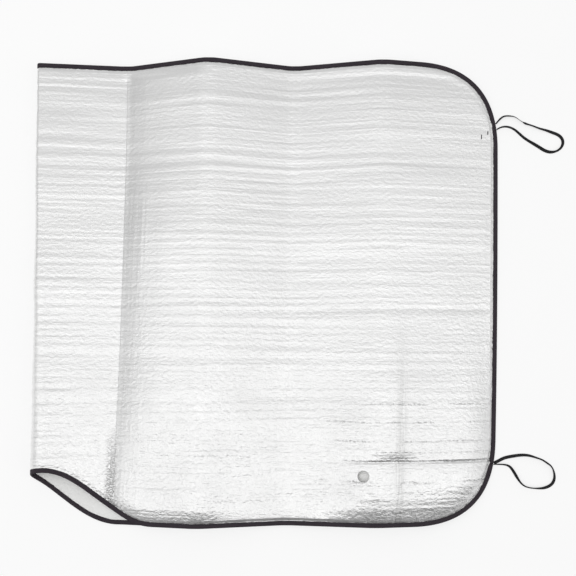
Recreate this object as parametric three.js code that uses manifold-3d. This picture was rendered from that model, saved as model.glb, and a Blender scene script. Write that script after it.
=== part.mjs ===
import * as THREE from "three";
import { mergeVertices } from "three/addons/utils/BufferGeometryUtils.js";
import Module from "manifold-3d";

// Foil and foam windscreen sunshade, folded once across and laid down half opened on its creases.
// Millimetres. X runs from the fold to the strap loops, Y from the mirror notch to the straight
// edge, Z up. The origin is on the floor, under the middle of the folded sheet.

// Flat sheet
const sheetLength = 1400;
const sheetHeight = 700;
const foamThickness = 3;
const cornerReach = 125; // along both edges, from the square corner to where the rounding starts
const notchDepth = 83;
const notchHalfWidth = 172;

// Suction cup holes, one near each end of the notched side
const cupHoleDiameter = 18;
const cupHoleFromMiddle = 496; // along the sheet, from the middle of the notch
const cupHoleFromEdge = 77;
const cupHoleSides = 28;

// Fold and creases
const foldOffset = 30; // from the middle of the notch to the fold
const creasePitch = 136.5;
const creaseBand = 12; // half the length over which a crease bends
const creaseFlat = 3; // half the width of the pressed flat in a crease
const layerStep = 7; // middle of the lower layer to middle of the upper one, height for height
const firstRidgeHeight = 43;
const secondValleyHeight = 1;
const secondRidgeHeight = 33;
const lowerFoldHeight = 16.5; // lower layer above its first valley, where it reaches the closed fold
const closedFoldRadius = 4;
const openFoldRadius = 21;
const openFoldFlattening = 0.3; // share of the ridge heights lost at the notched side
const openFoldDrift = 7; // the fold lies this much further out at the notched side
const openingPower = 1.5; // how fast the fold opens from the straight side to the notched one

// Edge binding, a tape folded round the sheet's edge
const tapeWidth = 6.2;
const tapeThickness = 0.6;
const tapeClearance = 0.3;
const pinchedThickness = 1.2; // foam under the tape
const pinchMargin = 0.4; // the foam starts to swell this far inside the tape
const swellWidth = 4.6;
const tapeOuter = pinchedThickness / 2 + tapeClearance + tapeThickness;

// Strap loops of flat elastic, standing on edge
const strapWidth = 5;
const strapThickness = 0.8;
const strapClearance = 0.6; // to the middle of a strap's end, whose corners come closer
const strapHeight = 3; // middle of the elastic above the floor
const strapSteps = 60;
const upperStrapExit = 263.5; // Y of the first end
const lowerStrapExit = -257.5;

// Mesh steps
const rowCount = 9;
const notchStep = 13;
const cornerSteps = 7;
const closedFoldStations = [0, 0.8, 1.6, 2.4, 3.4]; // from the fold, in closed fold radii
const openFoldStations = [0.9, 1.25, 1.6]; // the same, in open fold radii
const narrowestColumn = 0.2;
const slopePasses = 10;
const directionStep = 0.05; // along the sheet and across it, to find which way it faces
const leanStep = 0.5; // along the sheet, to find which way its notched side runs

// Half lengths on the two sides of the fold
const upperLength = sheetLength / 2 + foldOffset;
const lowerLength = sheetLength / 2 - foldOffset;
const creaseNumbers = [1, 2, 3, 4];
const endPanel = upperLength - creaseNumbers.length * creasePitch;
const creaseLoss = (creaseBand + creaseFlat) / 2; // length of a panel that its crease keeps level

// A layer's cross-section is a chain of arcs: each knot is [distance from the fold along the
// sheet, slope there], and the slope turns evenly from knot to knot.
function sectionKnots(side, firstSlope, foldRadius, ridgeScale) {
  const heights = [0, firstRidgeHeight, secondValleyHeight, secondRidgeHeight].map((h) => h * ridgeScale);
  const slopes = [firstSlope];
  for (let i = 1; i < heights.length; i += 1) {
    slopes.push(Math.asin((heights[i] - heights[i - 1]) / (creasePitch - 2 * creaseLoss)));
  }
  slopes.push(-Math.asin((heights.at(-1) + layerStep) / (endPanel - creaseLoss)));
  const upright = (side * Math.PI) / 2;
  const knots = [
    [0, upright],
    [foldRadius * Math.abs(upright - firstSlope), firstSlope],
  ];
  creaseNumbers.forEach((number, i) => {
    const at = number * creasePitch;
    knots.push([at - creaseBand, slopes[i]]);
    knots.push([at - creaseFlat, 0]);
    knots.push([at + creaseFlat, 0]);
    knots.push([at + creaseBand, slopes[i + 1]]);
  });
  knots.push([2 * sheetLength, slopes.at(-1)]);
  return knots;
}

// Place along a chain of arcs: each arc's chord points along its mean slope.
function alongSection(knots, distance) {
  const place = new THREE.Vector2();
  for (let i = 1; i < knots.length; i += 1) {
    const [fromLength, fromSlope] = knots[i - 1];
    const [toLength, toSlope] = knots[i];
    const length = Math.min(distance, toLength) - fromLength;
    if (length <= 0) break;
    const halfTurn = (((toSlope - fromSlope) / 2) * length) / (toLength - fromLength);
    const chord = halfTurn === 0 ? length : (length * Math.sin(halfTurn)) / halfTurn;
    place.x += chord * Math.cos(fromSlope + halfTurn);
    place.y += chord * Math.sin(fromSlope + halfTurn);
  }
  return place;
}

// Slope of the upper layer's first panel, which brings it layerStep above the lower layer
// just past the first crease.
function upperFirstSlope(lowerKnots, foldRadius, ridgeScale) {
  const meeting = creasePitch + creaseBand;
  const wanted = alongSection(lowerKnots, meeting).y + layerStep;
  let slope = 0;
  for (let pass = 0; pass < slopePasses; pass += 1) {
    const knots = sectionKnots(1, slope, foldRadius, ridgeScale);
    slope += (wanted - alongSection(knots, meeting).y) / creasePitch;
  }
  return slope;
}

// Middle surface of the folded sheet. s is measured along the flat sheet from the fold, positive
// into the upper layer, and t across it from the notched side.
function sheetPoint(s, t) {
  const opening = Math.max(0, 1 - t / sheetHeight) ** openingPower;
  const foldRadius = THREE.MathUtils.lerp(closedFoldRadius, openFoldRadius, opening);
  const ridgeScale = 1 - openFoldFlattening * opening;
  const lowerSlope = -Math.asin((lowerFoldHeight * (1 - opening)) / (creasePitch - creaseLoss));
  const lowerKnots = sectionKnots(-1, lowerSlope, foldRadius, ridgeScale);
  const foldHeight = foamThickness / 2 - alongSection(lowerKnots, creasePitch).y;
  let place;
  if (s < 0) {
    place = alongSection(lowerKnots, -s);
  } else {
    const slope = upperFirstSlope(lowerKnots, foldRadius, ridgeScale);
    place = alongSection(sectionKnots(1, slope, foldRadius, ridgeScale), s);
  }
  return new THREE.Vector3(place.x - openFoldDrift * opening, t, foldHeight + place.y);
}

// A point off the middle surface, towards the foil side.
function offsetPoint(s, t, height) {
  const along = sheetPoint(s + directionStep, t).sub(sheetPoint(s - directionStep, t));
  const across = sheetPoint(s, t + directionStep).sub(sheetPoint(s, t - directionStep));
  return sheetPoint(s, t).addScaledVector(along.cross(across).normalize(), height);
}

// Swell line: the flat outline set in by the pinched border. The edge is made outwards from it.
const border = tapeWidth + pinchMargin + swellWidth;
const swellReach = cornerReach - border;

function cornerRise(fromEnd) {
  return fromEnd < swellReach ? swellReach * (1 - Math.sqrt(fromEnd / swellReach)) ** 2 : 0;
}

function notchRise(fromMiddle) {
  const share = Math.min(1, Math.abs(fromMiddle) / notchHalfWidth);
  return (notchDepth / 2) * (1 + Math.cos(Math.PI * share));
}

function fromEnd(s) {
  return Math.max(0, Math.min(upperLength - border - s, s + lowerLength - border));
}

function notchedSide(s) {
  return border + cornerRise(fromEnd(s)) + notchRise(s - foldOffset);
}

function straightSide(s) {
  return sheetHeight - border - cornerRise(fromEnd(s));
}

// Columns of the mesh: closer in the fold, the creases, the notch and the corners.
function columnPlaces() {
  const foldSteps = closedFoldStations.map((n) => n * closedFoldRadius);
  const openSteps = openFoldStations.map((n) => n * openFoldRadius);
  const places = [0];
  [...foldSteps, ...openSteps].forEach((u) => places.push(u, -u));
  [upperLength, -lowerLength].forEach((end) => {
    for (let i = 0; i <= cornerSteps; i += 1) {
      const inward = border + swellReach * (i / cornerSteps) ** 2;
      places.push(end - Math.sign(end) * inward);
    }
  });
  creaseNumbers.forEach((number) => {
    [-creaseBand, -creaseFlat, creaseFlat, creaseBand].forEach((offset) => {
      places.push(number * creasePitch + offset, -(number * creasePitch + offset));
    });
  });
  const clearOfFold = openSteps.at(-1) + notchStep / 2;
  const notchSteps = Math.ceil(notchHalfWidth / notchStep);
  for (let i = -notchSteps; i <= notchSteps; i += 1) {
    const place = foldOffset + (notchHalfWidth * i) / notchSteps;
    if (Math.abs(place) > clearOfFold) places.push(place);
  }
  const kept = places
    .filter((s) => s <= upperLength - border && s >= border - lowerLength)
    .sort((a, b) => a - b);
  return kept.filter((s, i) => i === 0 || s - kept[i - 1] > narrowestColumn);
}

const columns = columnPlaces();

// Grid of pattern points inside the swell line, column by column.
const grid = columns.map((s) => {
  const low = notchedSide(s);
  const high = straightSide(s);
  const points = [];
  for (let row = 0; row <= rowCount; row += 1) {
    points.push(new THREE.Vector2(s, THREE.MathUtils.lerp(low, high, row / rowCount)));
  }
  return points;
});

// The swell line's grid places, anticlockwise seen from the foil side.
function swellLoop() {
  const last = columns.length - 1;
  const loop = [];
  for (let i = 0; i < last; i += 1) loop.push([i, 0]);
  for (let j = 0; j < rowCount; j += 1) loop.push([last, j]);
  for (let i = last; i > 0; i -= 1) loop.push([i, rowCount]);
  for (let j = rowCount; j > 0; j -= 1) loop.push([0, j]);
  return loop;
}

const loopPlaces = swellLoop();

// Outward direction of the swell line in the flat pattern, from the formulas of its curves.
function outward([column, row]) {
  const s = columns[column];
  const inward = fromEnd(s);
  const endSign = s > 0 ? 1 : -1;
  if (column === 0 || column === columns.length - 1) return new THREE.Vector2(endSign, 0);
  const sideSign = row === 0 ? -1 : 1;
  if (inward < swellReach) {
    const rise = cornerRise(inward);
    return new THREE.Vector2(endSign * Math.sqrt(rise), sideSign * Math.sqrt(inward)).normalize();
  }
  if (row > 0) return new THREE.Vector2(0, sideSign);
  const lean = (notchedSide(s + leanStep) - notchedSide(s - leanStep)) / (2 * leanStep);
  return new THREE.Vector2(lean, sideSign).normalize();
}

// Pattern point beside a place of the swell line.
function beside(place, distance) {
  return outward(place).multiplyScalar(distance).add(grid[place[0]][place[1]]);
}

function meshOf(positions, triangles) {
  const geometry = new THREE.BufferGeometry();
  geometry.setAttribute("position", new THREE.Float32BufferAttribute(positions, 3));
  geometry.setIndex(triangles);
  return geometry;
}

// Sheet: two faces on the grid, carried out over the pinched border, and the cut edge between.
function sheetGeometry() {
  const positions = [];
  const triangles = [];
  const push = (point, height) => {
    positions.push(...offsetPoint(point.x, point.y, height).toArray());
    return positions.length / 3 - 1;
  };
  const face = (a, b, c, flip) => triangles.push(a, flip ? c : b, flip ? b : c);
  const rims = [1, -1].map((side) => {
    const flip = side < 0;
    const inner = grid.map((points) => points.map((point) => push(point, (side * foamThickness) / 2)));
    for (let i = 1; i < columns.length; i += 1) {
      for (let j = 1; j <= rowCount; j += 1) {
        face(inner[i - 1][j - 1], inner[i][j - 1], inner[i][j], flip);
        face(inner[i - 1][j - 1], inner[i][j], inner[i - 1][j], flip);
      }
    }
    const swell = loopPlaces.map(([i, j]) => inner[i][j]);
    const ring = (distance) =>
      loopPlaces.map((place) => push(beside(place, distance), (side * pinchedThickness) / 2));
    const rings = [swell, ring(swellWidth), ring(border)];
    for (let r = 1; r < rings.length; r += 1) {
      loopPlaces.forEach((_, k) => {
        const next = (k + 1) % loopPlaces.length;
        face(rings[r][k], rings[r][next], rings[r - 1][next], flip);
        face(rings[r][k], rings[r - 1][next], rings[r - 1][k], flip);
      });
    }
    return rings.at(-1);
  });
  loopPlaces.forEach((_, k) => {
    const next = (k + 1) % loopPlaces.length;
    face(rims[1][k], rims[1][next], rims[0][next], false);
    face(rims[1][k], rims[0][next], rims[0][k], false);
  });
  return meshOf(positions, triangles);
}

// Binding: a U of tape, open towards the sheet, carried round the edge.
function bindingGeometry() {
  const mouth = border - tapeWidth;
  const crest = border + tapeClearance + tapeThickness;
  const slot = border + tapeClearance;
  const section = [
    [mouth, tapeOuter],
    [crest, tapeOuter],
    [crest, -tapeOuter],
    [mouth, -tapeOuter],
    [mouth, tapeThickness - tapeOuter],
    [slot, tapeThickness - tapeOuter],
    [slot, tapeOuter - tapeThickness],
    [mouth, tapeOuter - tapeThickness],
  ];
  const positions = [];
  const triangles = [];
  loopPlaces.forEach((place) => {
    section.forEach(([distance, height]) => {
      const point = beside(place, distance);
      positions.push(...offsetPoint(point.x, point.y, height).toArray());
    });
  });
  const corners = section.length;
  loopPlaces.forEach((_, k) => {
    const here = k * corners;
    const next = ((k + 1) % loopPlaces.length) * corners;
    for (let c = 0; c < corners; c += 1) {
      const d = (c + 1) % corners;
      triangles.push(here + c, here + d, next + d);
      triangles.push(here + c, next + d, next + c);
    }
  });
  return meshOf(positions, triangles);
}

// A closed mesh as a solid, and back again.
const wasm = await Module();
wasm.setup();

function solidOf(geometry) {
  const bare = geometry.clone();
  bare.deleteAttribute("normal");
  bare.deleteAttribute("uv");
  const merged = mergeVertices(bare);
  const vertProperties = merged.getAttribute("position").array;
  const triVerts = new Uint32Array(merged.getIndex().array);
  return new wasm.Manifold(new wasm.Mesh({ numProp: 3, vertProperties, triVerts }));
}

function geometryOf(solid) {
  const mesh = solid.getMesh();
  return meshOf(Array.from(mesh.vertProperties), Array.from(mesh.triVerts));
}

// Punch through one layer, square to the sheet where it stands.
function cupHolePunch(s) {
  const radius = cupHoleDiameter / 2;
  const reach = foamThickness + layerStep;
  const punch = new THREE.CylinderGeometry(radius, radius, reach / 2, cupHoleSides);
  const centre = offsetPoint(s, cupHoleFromEdge, 0);
  const axis = offsetPoint(s, cupHoleFromEdge, 1).sub(centre);
  punch.applyQuaternion(new THREE.Quaternion().setFromUnitVectors(new THREE.Vector3(0, 1, 0), axis));
  return punch.translate(...centre.toArray());
}

function punchedSheet() {
  let solid = solidOf(sheetGeometry());
  [foldOffset + cupHoleFromMiddle, foldOffset - cupHoleFromMiddle].forEach((s) => {
    solid = solid.subtract(solidOf(cupHolePunch(s)));
  });
  return geometryOf(solid);
}

// Routes of the elastic, from where its first end leaves the binding.
const upperStrapRoute = [
  [0, 0],
  [6.5, 7.5],
  [12, 11.5],
  [20.5, 12.5],
  [29, 11],
  [37.5, 5.5],
  [45.5, 1],
  [56, -2.5],
  [66.5, -6.5],
  [77, -9.5],
  [89, -13.5],
  [99, -18.5],
  [103.5, -26],
  [102, -34],
  [96, -40.5],
  [87, -43.5],
  [78, -42],
  [68, -36.5],
  [56, -29.5],
  [43.5, -21.5],
  [35, -14],
  [26.5, -7.5],
  [18, -4.5],
  [9, -5],
  [1, -8.5],
];
const lowerStrapRoute = [
  [0, 0],
  [7.5, 3.5],
  [14.5, 7],
  [26.5, 10],
  [40.5, 12],
  [53.5, 11.5],
  [64, 8.5],
  [73.5, 5],
  [81.5, 0],
  [88, -5.5],
  [91.5, -13.5],
  [92.5, -22],
  [90, -30],
  [83.5, -35.5],
  [75.5, -38],
  [65.5, -38.5],
  [54.5, -37.5],
  [46, -34.5],
  [40, -29],
  [34.5, -20.5],
  [28.5, -10.5],
  [23, -4.6],
  [16, -2.4],
  [8, -1.9],
  [1, -1.8],
];

// Flat elastic on edge: a thin eight-sided section, X up and Y across, swept along its route.
function strapGeometry(route, exitY, edgeX) {
  const exitX = edgeX(exitY) + strapClearance;
  const points = route.map(([x, y]) => new THREE.Vector3(exitX + x, exitY + y, strapHeight));
  const end = points.at(-1);
  end.x = edgeX(end.y) + strapClearance;
  const curve = new THREE.CatmullRomCurve3(points, false, "centripetal");
  const section = new THREE.Shape();
  const half = strapWidth / 2;
  const thin = strapThickness / 2;
  section.moveTo(half, -thin / 2);
  section.lineTo(half, thin / 2);
  section.lineTo(half - thin / 2, thin);
  section.lineTo(thin / 2 - half, thin);
  section.lineTo(-half, thin / 2);
  section.lineTo(-half, -thin / 2);
  section.lineTo(thin / 2 - half, -thin);
  section.lineTo(half - thin / 2, -thin);
  return new THREE.ExtrudeGeometry(section, { steps: strapSteps, extrudePath: curve });
}

function finish(color, roughness, metalness) {
  return new THREE.MeshStandardMaterial({ color, roughness, metalness });
}

function pieceOf(name, geometry, material) {
  geometry.computeVertexNormals();
  const mesh = new THREE.Mesh(geometry, material);
  mesh.name = name;
  return mesh;
}

const shadeSheet = pieceOf("shade_sheet", punchedSheet(), finish(0xdcdcdc, 0.35, 0.7));
const edgeBinding = pieceOf("edge_binding", bindingGeometry(), finish(0x2c262b, 0.85, 0));

// The folded sheet and its binding are centred over the origin and stand on the floor.
const folded = new THREE.Box3().setFromObject(shadeSheet).union(new THREE.Box3().setFromObject(edgeBinding));
const centre = folded.getCenter(new THREE.Vector3());
const placed = new THREE.Vector3(-centre.x, -centre.y, -folded.min.z);
shadeSheet.geometry.translate(...placed.toArray());
edgeBinding.geometry.translate(...placed.toArray());

// X of the binding's outer edge at the strap end of the sheet, from the stations of its crest.
const crestLine = loopPlaces
  .filter(([column]) => columns[column] > upperLength - cornerReach - border)
  .map((place) => beside(place, border + tapeClearance + tapeThickness))
  .map((point) => offsetPoint(point.x, point.y, 0).add(placed));

function bindingEdgeX(y) {
  const after = crestLine.findIndex((point) => point.y > y);
  const from = crestLine[after - 1];
  const to = crestLine[after];
  return THREE.MathUtils.mapLinear(y, from.y, to.y, from.x, to.x);
}

const strapFinish = finish(0x1c1a1c, 0.9, 0);
const upperStrap = strapGeometry(upperStrapRoute, upperStrapExit, bindingEdgeX);
const lowerStrap = strapGeometry(lowerStrapRoute, lowerStrapExit, bindingEdgeX);

const windscreenSunshade = new THREE.Group();
windscreenSunshade.name = "windscreen_sunshade";
windscreenSunshade.add(shadeSheet);
windscreenSunshade.add(edgeBinding);
windscreenSunshade.add(pieceOf("upper_strap_loop", upperStrap, strapFinish));
windscreenSunshade.add(pieceOf("lower_strap_loop", lowerStrap, strapFinish));

export default windscreenSunshade;
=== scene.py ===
import math

import bmesh
import bpy
import numpy as np
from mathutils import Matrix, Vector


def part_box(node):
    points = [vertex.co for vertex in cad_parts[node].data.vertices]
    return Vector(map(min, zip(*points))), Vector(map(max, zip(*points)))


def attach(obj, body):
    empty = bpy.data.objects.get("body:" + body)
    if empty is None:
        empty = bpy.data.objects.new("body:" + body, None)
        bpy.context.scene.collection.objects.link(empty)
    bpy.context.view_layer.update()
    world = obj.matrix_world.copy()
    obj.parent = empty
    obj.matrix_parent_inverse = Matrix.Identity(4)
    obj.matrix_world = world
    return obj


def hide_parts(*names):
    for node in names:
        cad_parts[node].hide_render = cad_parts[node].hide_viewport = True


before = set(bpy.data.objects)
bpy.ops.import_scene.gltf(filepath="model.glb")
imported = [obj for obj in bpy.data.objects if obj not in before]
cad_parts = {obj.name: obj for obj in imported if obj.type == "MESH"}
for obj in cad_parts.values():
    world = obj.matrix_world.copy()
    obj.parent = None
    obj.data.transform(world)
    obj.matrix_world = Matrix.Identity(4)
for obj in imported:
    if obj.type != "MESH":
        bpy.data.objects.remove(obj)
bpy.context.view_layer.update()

# Foil windscreen sunshade, folded once across and lying half opened on its creases.
# Metres. X runs from the fold to the strap loops, Y from the mirror notch to the straight edge,
# and Z up.

body = "root"


# Helpers for meshes

# A mesh from a point array and an array of quads, with caps as lists of point numbers and one
# UV pair for each point.
def meshObject(name, points, quads, uv, surfaces, caps=()):
    mesh = bpy.data.meshes.new(name)
    faces = quads.tolist() + [list(cap) for cap in caps]
    mesh.from_pydata(points.reshape(-1, 3).tolist(), [], faces)
    corner = np.zeros(len(mesh.loops), np.int32)
    mesh.loops.foreach_get("vertex_index", corner)
    layer = mesh.uv_layers.new(name="flat")
    layer.data.foreach_set("uv", uv.reshape(-1, 2)[corner].astype(np.float32).ravel())
    for surface in surfaces:
        mesh.materials.append(surface)
    mesh.polygons.foreach_set("use_smooth", [True] * len(quads) + [False] * len(caps))
    mesh.update()
    piece = bpy.data.objects.new(name, mesh)
    bpy.context.scene.collection.objects.link(piece)
    return piece


# Quads between neighbours of a grid of point numbers, closed round either direction if asked.
def gridQuads(numbers, closeRows=False, closeColumns=False):
    if closeRows:
        numbers = np.concatenate([numbers, numbers[:1]], 0)
    if closeColumns:
        numbers = np.concatenate([numbers, numbers[:, :1]], 1)
    low, high = numbers[:-1], numbers[1:]
    return np.stack([low[:, :-1], high[:, :-1], high[:, 1:], low[:, 1:]], -1).reshape(-1, 4)


# Turns the faces of a closed mesh outwards.
def turnOutwards(piece):
    work = bmesh.new()
    work.from_mesh(piece.data)
    bmesh.ops.recalc_face_normals(work, faces=work.faces)
    work.to_mesh(piece.data)
    work.free()


# Makes the modified shape the piece's own mesh.
def applyModifiers(piece):
    graph = bpy.context.evaluated_depsgraph_get()
    done = bpy.data.meshes.new_from_object(piece.evaluated_get(graph))
    piece.modifiers.clear()
    old = piece.data
    piece.data = done
    bpy.data.meshes.remove(old)


# Each row divided by its length.
def unit(vectors):
    return vectors / np.maximum(np.linalg.norm(vectors, axis=-1, keepdims=True), 1e-12)


# The run along a line of points, from its first.
def runAlong(points):
    lengths = np.linalg.norm(np.diff(points, axis=0), axis=1)
    return np.concatenate([[0], np.cumsum(lengths)])


# Angles of even steps once round.
def roundTurn(count):
    return np.arange(count) / count * 2 * math.pi


# 0 below low, 1 above high, and 3f^2 - 2f^3 of the share f between.
def smoothStep(values, low, high):
    share = np.clip((values - low) / (high - low), 0, 1)
    return share * share * (3 - 2 * share)


# Seeded random values from -1 to 1 on a lattice, joined both ways by 3f^2 - 2f^3 of the share f.
def latticeNoise(u, v, seed):
    size = 256
    table = np.random.default_rng(seed).uniform(-1, 1, (size, size))
    column, row = np.floor(u).astype(int), np.floor(v).astype(int)
    f, g = smoothStep(u - column, 0, 1), smoothStep(v - row, 0, 1)
    column, row = column % size, row % size
    nextColumn, nextRow = (column + 1) % size, (row + 1) % size
    low = table[column, row] * (1 - f) + table[nextColumn, row] * f
    high = table[column, nextRow] * (1 - f) + table[nextColumn, nextRow] * f
    return low * (1 - g) + high * g


# Helpers for materials

# A shader socket that can be reckoned with: each operator adds a Math node.
class Value:
    def __init__(self, shader, socket):
        self.shader = shader
        self.socket = socket

    def math(self, operation, first, second=None):
        inputs = [first] if second is None else [first, second]
        return self.shader.node("ShaderNodeMath", {"operation": operation}, inputs)[0]

    def __add__(self, other):
        return self.math("ADD", self, other)

    def __sub__(self, other):
        return self.math("SUBTRACT", self, other)

    def __mul__(self, other):
        return self.math("MULTIPLY", self, other)

    def __rsub__(self, other):
        return self.math("SUBTRACT", other, self)

    __radd__ = __add__
    __rmul__ = __mul__

    def sine(self):
        return self.math("SINE", self)

    def size(self):
        return self.math("ABSOLUTE", self)

    # 0 below low, 1 above high, smooth between
    def step(self, low, high):
        settings = {"interpolation_type": "SMOOTHSTEP"}
        inputs = {"Value": self, "From Min": low, "From Max": high}
        return self.shader.node("ShaderNodeMapRange", settings, inputs)[0]

    # 1 within low of nought, 0 beyond high, smooth between
    def near(self, low, high):
        return 1 - self.size().step(low, high)


# The node tree of a material, with one Principled shader, or of a world.
class Shader:
    def __init__(self, name, world=None, **constants):
        self.material = world or bpy.data.materials.new(name)
        self.material.use_nodes = True
        self.tree = self.material.node_tree
        self.surface = self.tree.nodes["Background" if world else "Principled BSDF"]
        for label, value in constants.items():
            self.surface.inputs[label.replace("_", " ")].default_value = value

    # Adds a node: its settings first, then its sockets' values or links. Gives its outputs.
    def node(self, kind, settings=None, inputs=()):
        node = self.tree.nodes.new(kind)
        for label, value in (settings or {}).items():
            setattr(node, label, value)
        pairs = inputs.items() if isinstance(inputs, dict) else enumerate(inputs)
        for label, value in pairs:
            if isinstance(value, Value):
                self.tree.links.new(value.socket, node.inputs[label])
            else:
                node.inputs[label].default_value = value
        return [Value(self, socket) for socket in node.outputs if socket.enabled]

    def feed(self, label, value):
        self.tree.links.new(value.socket, self.surface.inputs[label])

    # The piece's flat pattern coordinates in metres, stretched along each.
    def flat(self, along=1, across=1):
        place = self.node("ShaderNodeUVMap", {"uv_map": "flat"})[0]
        settings = {"operation": "MULTIPLY"}
        return self.node("ShaderNodeVectorMath", settings, [place, (along, across, 1)])[0]

    def places(self):
        return self.node("ShaderNodeSeparateXYZ", None, [self.flat()])[:2]

    def noise(self, place, scale, detail=2.0):
        inputs = {"Vector": place, "Scale": scale, "Detail": detail}
        return self.node("ShaderNodeTexNoise", None, inputs)[0]

    # The Mix node has several sockets of each name, so its colours go by number.
    def mixColour(self, share, first, second):
        inputs = {0: share, 6: first, 7: second}
        return self.node("ShaderNodeMix", {"data_type": "RGBA"}, inputs)[0]

    def bump(self, height, distance):
        return self.node("ShaderNodeBump", None, {"Height": height, "Distance": distance})[0]

    # The material with this height and a colour between the dark and the light one of its look.
    def dressed(self, look, height, share):
        self.feed("Normal", self.bump(height, look["depth"]))
        self.feed("Base Color", self.mixColour(share, look["dark"], look["light"]))
        return self.material


# Camera: almost straight above, with the frame shifted a little

cameraView = {
    "distance": 1.4, "tilt": math.radians(1.5), "lens": 57.0, "shift": 46 / 576,
    "targetX": 0.38023,  # from the fold line of the sheet at the straight side
    "targetY": 0.28971,
}


# Folded sheet: sizes and the shape of its middle surface

sheet = {
    "length": 1.400, "height": 0.700, "thickness": 0.003, "cornerReach": 0.125,
    "notchDepth": 0.083, "notchHalfWidth": 0.172,
}
fold = {
    "offset": 0.030,  # from the middle of the notch to the fold
    "pitch": 0.1365, "band": 0.012, "flat": 0.003, "layerStep": 0.007,
    "heights": [0, 0.043, 0.001, 0.033],
    "lowerHeight": 0.0165, "closedRadius": 0.004, "openRadius": 0.021, "flattening": 0.3,
    "drift": 0.007, "power": 1.5,
}
tape = {
    "width": 0.0062, "thickness": 0.0006, "clearance": 0.0003, "pinched": 0.0012,
    "margin": 0.0004, "swell": 0.0046, "step": 0.0016,
    "wobble": (0.00022, 0.02, 11),  # of its inner edges: height, length and seed
    "fray": (0.00016, 0.004, 12),
    "overLoop": (0.0014, 0.004),  # wider where a loop comes out: by and over
}
tape["border"] = tape["width"] + tape["margin"] + tape["swell"]
tape["outer"] = tape["pinched"] / 2 + tape["clearance"] + tape["thickness"]
tape["crest"] = tape["border"] + tape["clearance"] + tape["thickness"]
upperLength = sheet["length"] / 2 + fold["offset"]
lowerLength = sheet["length"] / 2 - fold["offset"]
creaseLoss = (fold["band"] + fold["flat"]) / 2
pitch, border = fold["pitch"], tape["border"]


# A layer's cross-section as knots of distance from the fold and slope, where the slope turns
# evenly from knot to knot: the fold's arc, then straight panels joined by crease bends.
def sectionKnots(side, firstSlope, foldRadius, ridgeScale):
    heights = fold["heights"]
    run = pitch - 2 * creaseLoss
    slopes = [firstSlope]
    rises = np.diff(heights).tolist()
    slopes += [np.arcsin(rise * ridgeScale / run) for rise in rises]
    endRun = upperLength - len(heights) * pitch - creaseLoss
    slopes.append(-np.arcsin((heights[-1] * ridgeScale + fold["layerStep"]) / endRun))
    upright = side * math.pi / 2
    knots = [(0, upright), (foldRadius * np.abs(upright - firstSlope), firstSlope)]
    for number in range(len(heights)):
        at = (number + 1) * pitch
        knots += [(at - fold["band"], slopes[number]), (at - fold["flat"], 0)]
        knots += [(at + fold["flat"], 0), (at + fold["band"], slopes[number + 1])]
    return knots + [(2 * sheet["length"], slopes[-1])]


# Place along a chain of arcs: an arc of length L that turns by 2h has the chord L sin(h) / h.
def alongSection(knots, distance):
    x, z = np.zeros_like(distance), np.zeros_like(distance)
    for (fromLength, fromSlope), (toLength, toSlope) in zip(knots, knots[1:]):
        length = np.maximum(np.minimum(distance, toLength) - fromLength, 0)
        halfTurn = (toSlope - fromSlope) / 2 * length / (toLength - fromLength)
        chord = length * np.sinc(halfTurn / math.pi)
        x = x + chord * np.cos(fromSlope + halfTurn)
        z = z + chord * np.sin(fromSlope + halfTurn)
    return x, z


# Middle surface at s along the flat sheet from the fold and t across it from the notched side.
# The fold opens as (1 - t / height) ** power, which sets its radius and flattens the ridges.
def sheetPoint(s, t):
    opening = np.maximum(0, 1 - t / sheet["height"]) ** fold["power"]
    radius = fold["closedRadius"] + (fold["openRadius"] - fold["closedRadius"]) * opening
    ridgeScale = 1 - fold["flattening"] * opening
    lowerSlope = -np.arcsin(fold["lowerHeight"] * (1 - opening) / (pitch - creaseLoss))
    lowerKnots = sectionKnots(-1, lowerSlope, radius, ridgeScale)
    pitches = np.full_like(s, pitch)
    foldHeight = sheet["thickness"] / 2 - alongSection(lowerKnots, pitches)[1]
    meeting = pitches + fold["band"]
    wanted = alongSection(lowerKnots, meeting)[1] + fold["layerStep"]
    upperSlope = np.zeros_like(s)
    for _ in range(8):
        reached = alongSection(sectionKnots(1, upperSlope, radius, ridgeScale), meeting)[1]
        upperSlope = upperSlope + (wanted - reached) / pitch
    lowerX, lowerZ = alongSection(lowerKnots, np.maximum(-s, 0))
    upperX, upperZ = alongSection(sectionKnots(1, upperSlope, radius, ridgeScale), np.maximum(s, 0))
    x = np.where(s < 0, lowerX, upperX) - fold["drift"] * opening
    return np.stack([x, t, foldHeight + np.where(s < 0, lowerZ, upperZ)], -1)


# Points off the middle surface, towards the foil side by the given heights.
def offsetPoint(s, t, height):
    step = 0.00005
    along = sheetPoint(s + step, t) - sheetPoint(s - step, t)
    across = sheetPoint(s, t + step) - sheetPoint(s, t - step)
    normal = unit(np.cross(along, across))
    return sheetPoint(s, t) + normal * np.asarray(height)[..., None] + placed


# Outline, set in by the pinched border: rounded corners by sqrt(x) + sqrt(y) = sqrt(reach), and
# a notch that is half a cosine wave.
swellReach = sheet["cornerReach"] - border
outline = {
    "slopeStep": 0.0005, "endPoints": 60, "cornerPoints": 160, "sidePoints": 1500,
}


lowEnd, highEnd = border - lowerLength, upperLength - border


def fromEnd(s):
    return np.maximum(0, np.minimum(highEnd - s, s - lowEnd))


# Places along the sheet with squared steps in the corners, round the given ones.
def withCorners(share, inner):
    step = swellReach * share ** 2
    return np.concatenate([lowEnd + step, inner, (highEnd - step)[::-1]])


def cornerRise(inward):
    return swellReach * (1 - np.sqrt(np.minimum(inward / swellReach, 1))) ** 2


def notchRise(fromMiddle):
    share = np.minimum(1, np.abs(fromMiddle) / sheet["notchHalfWidth"])
    return sheet["notchDepth"] / 2 * (1 + np.cos(math.pi * share))


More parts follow.
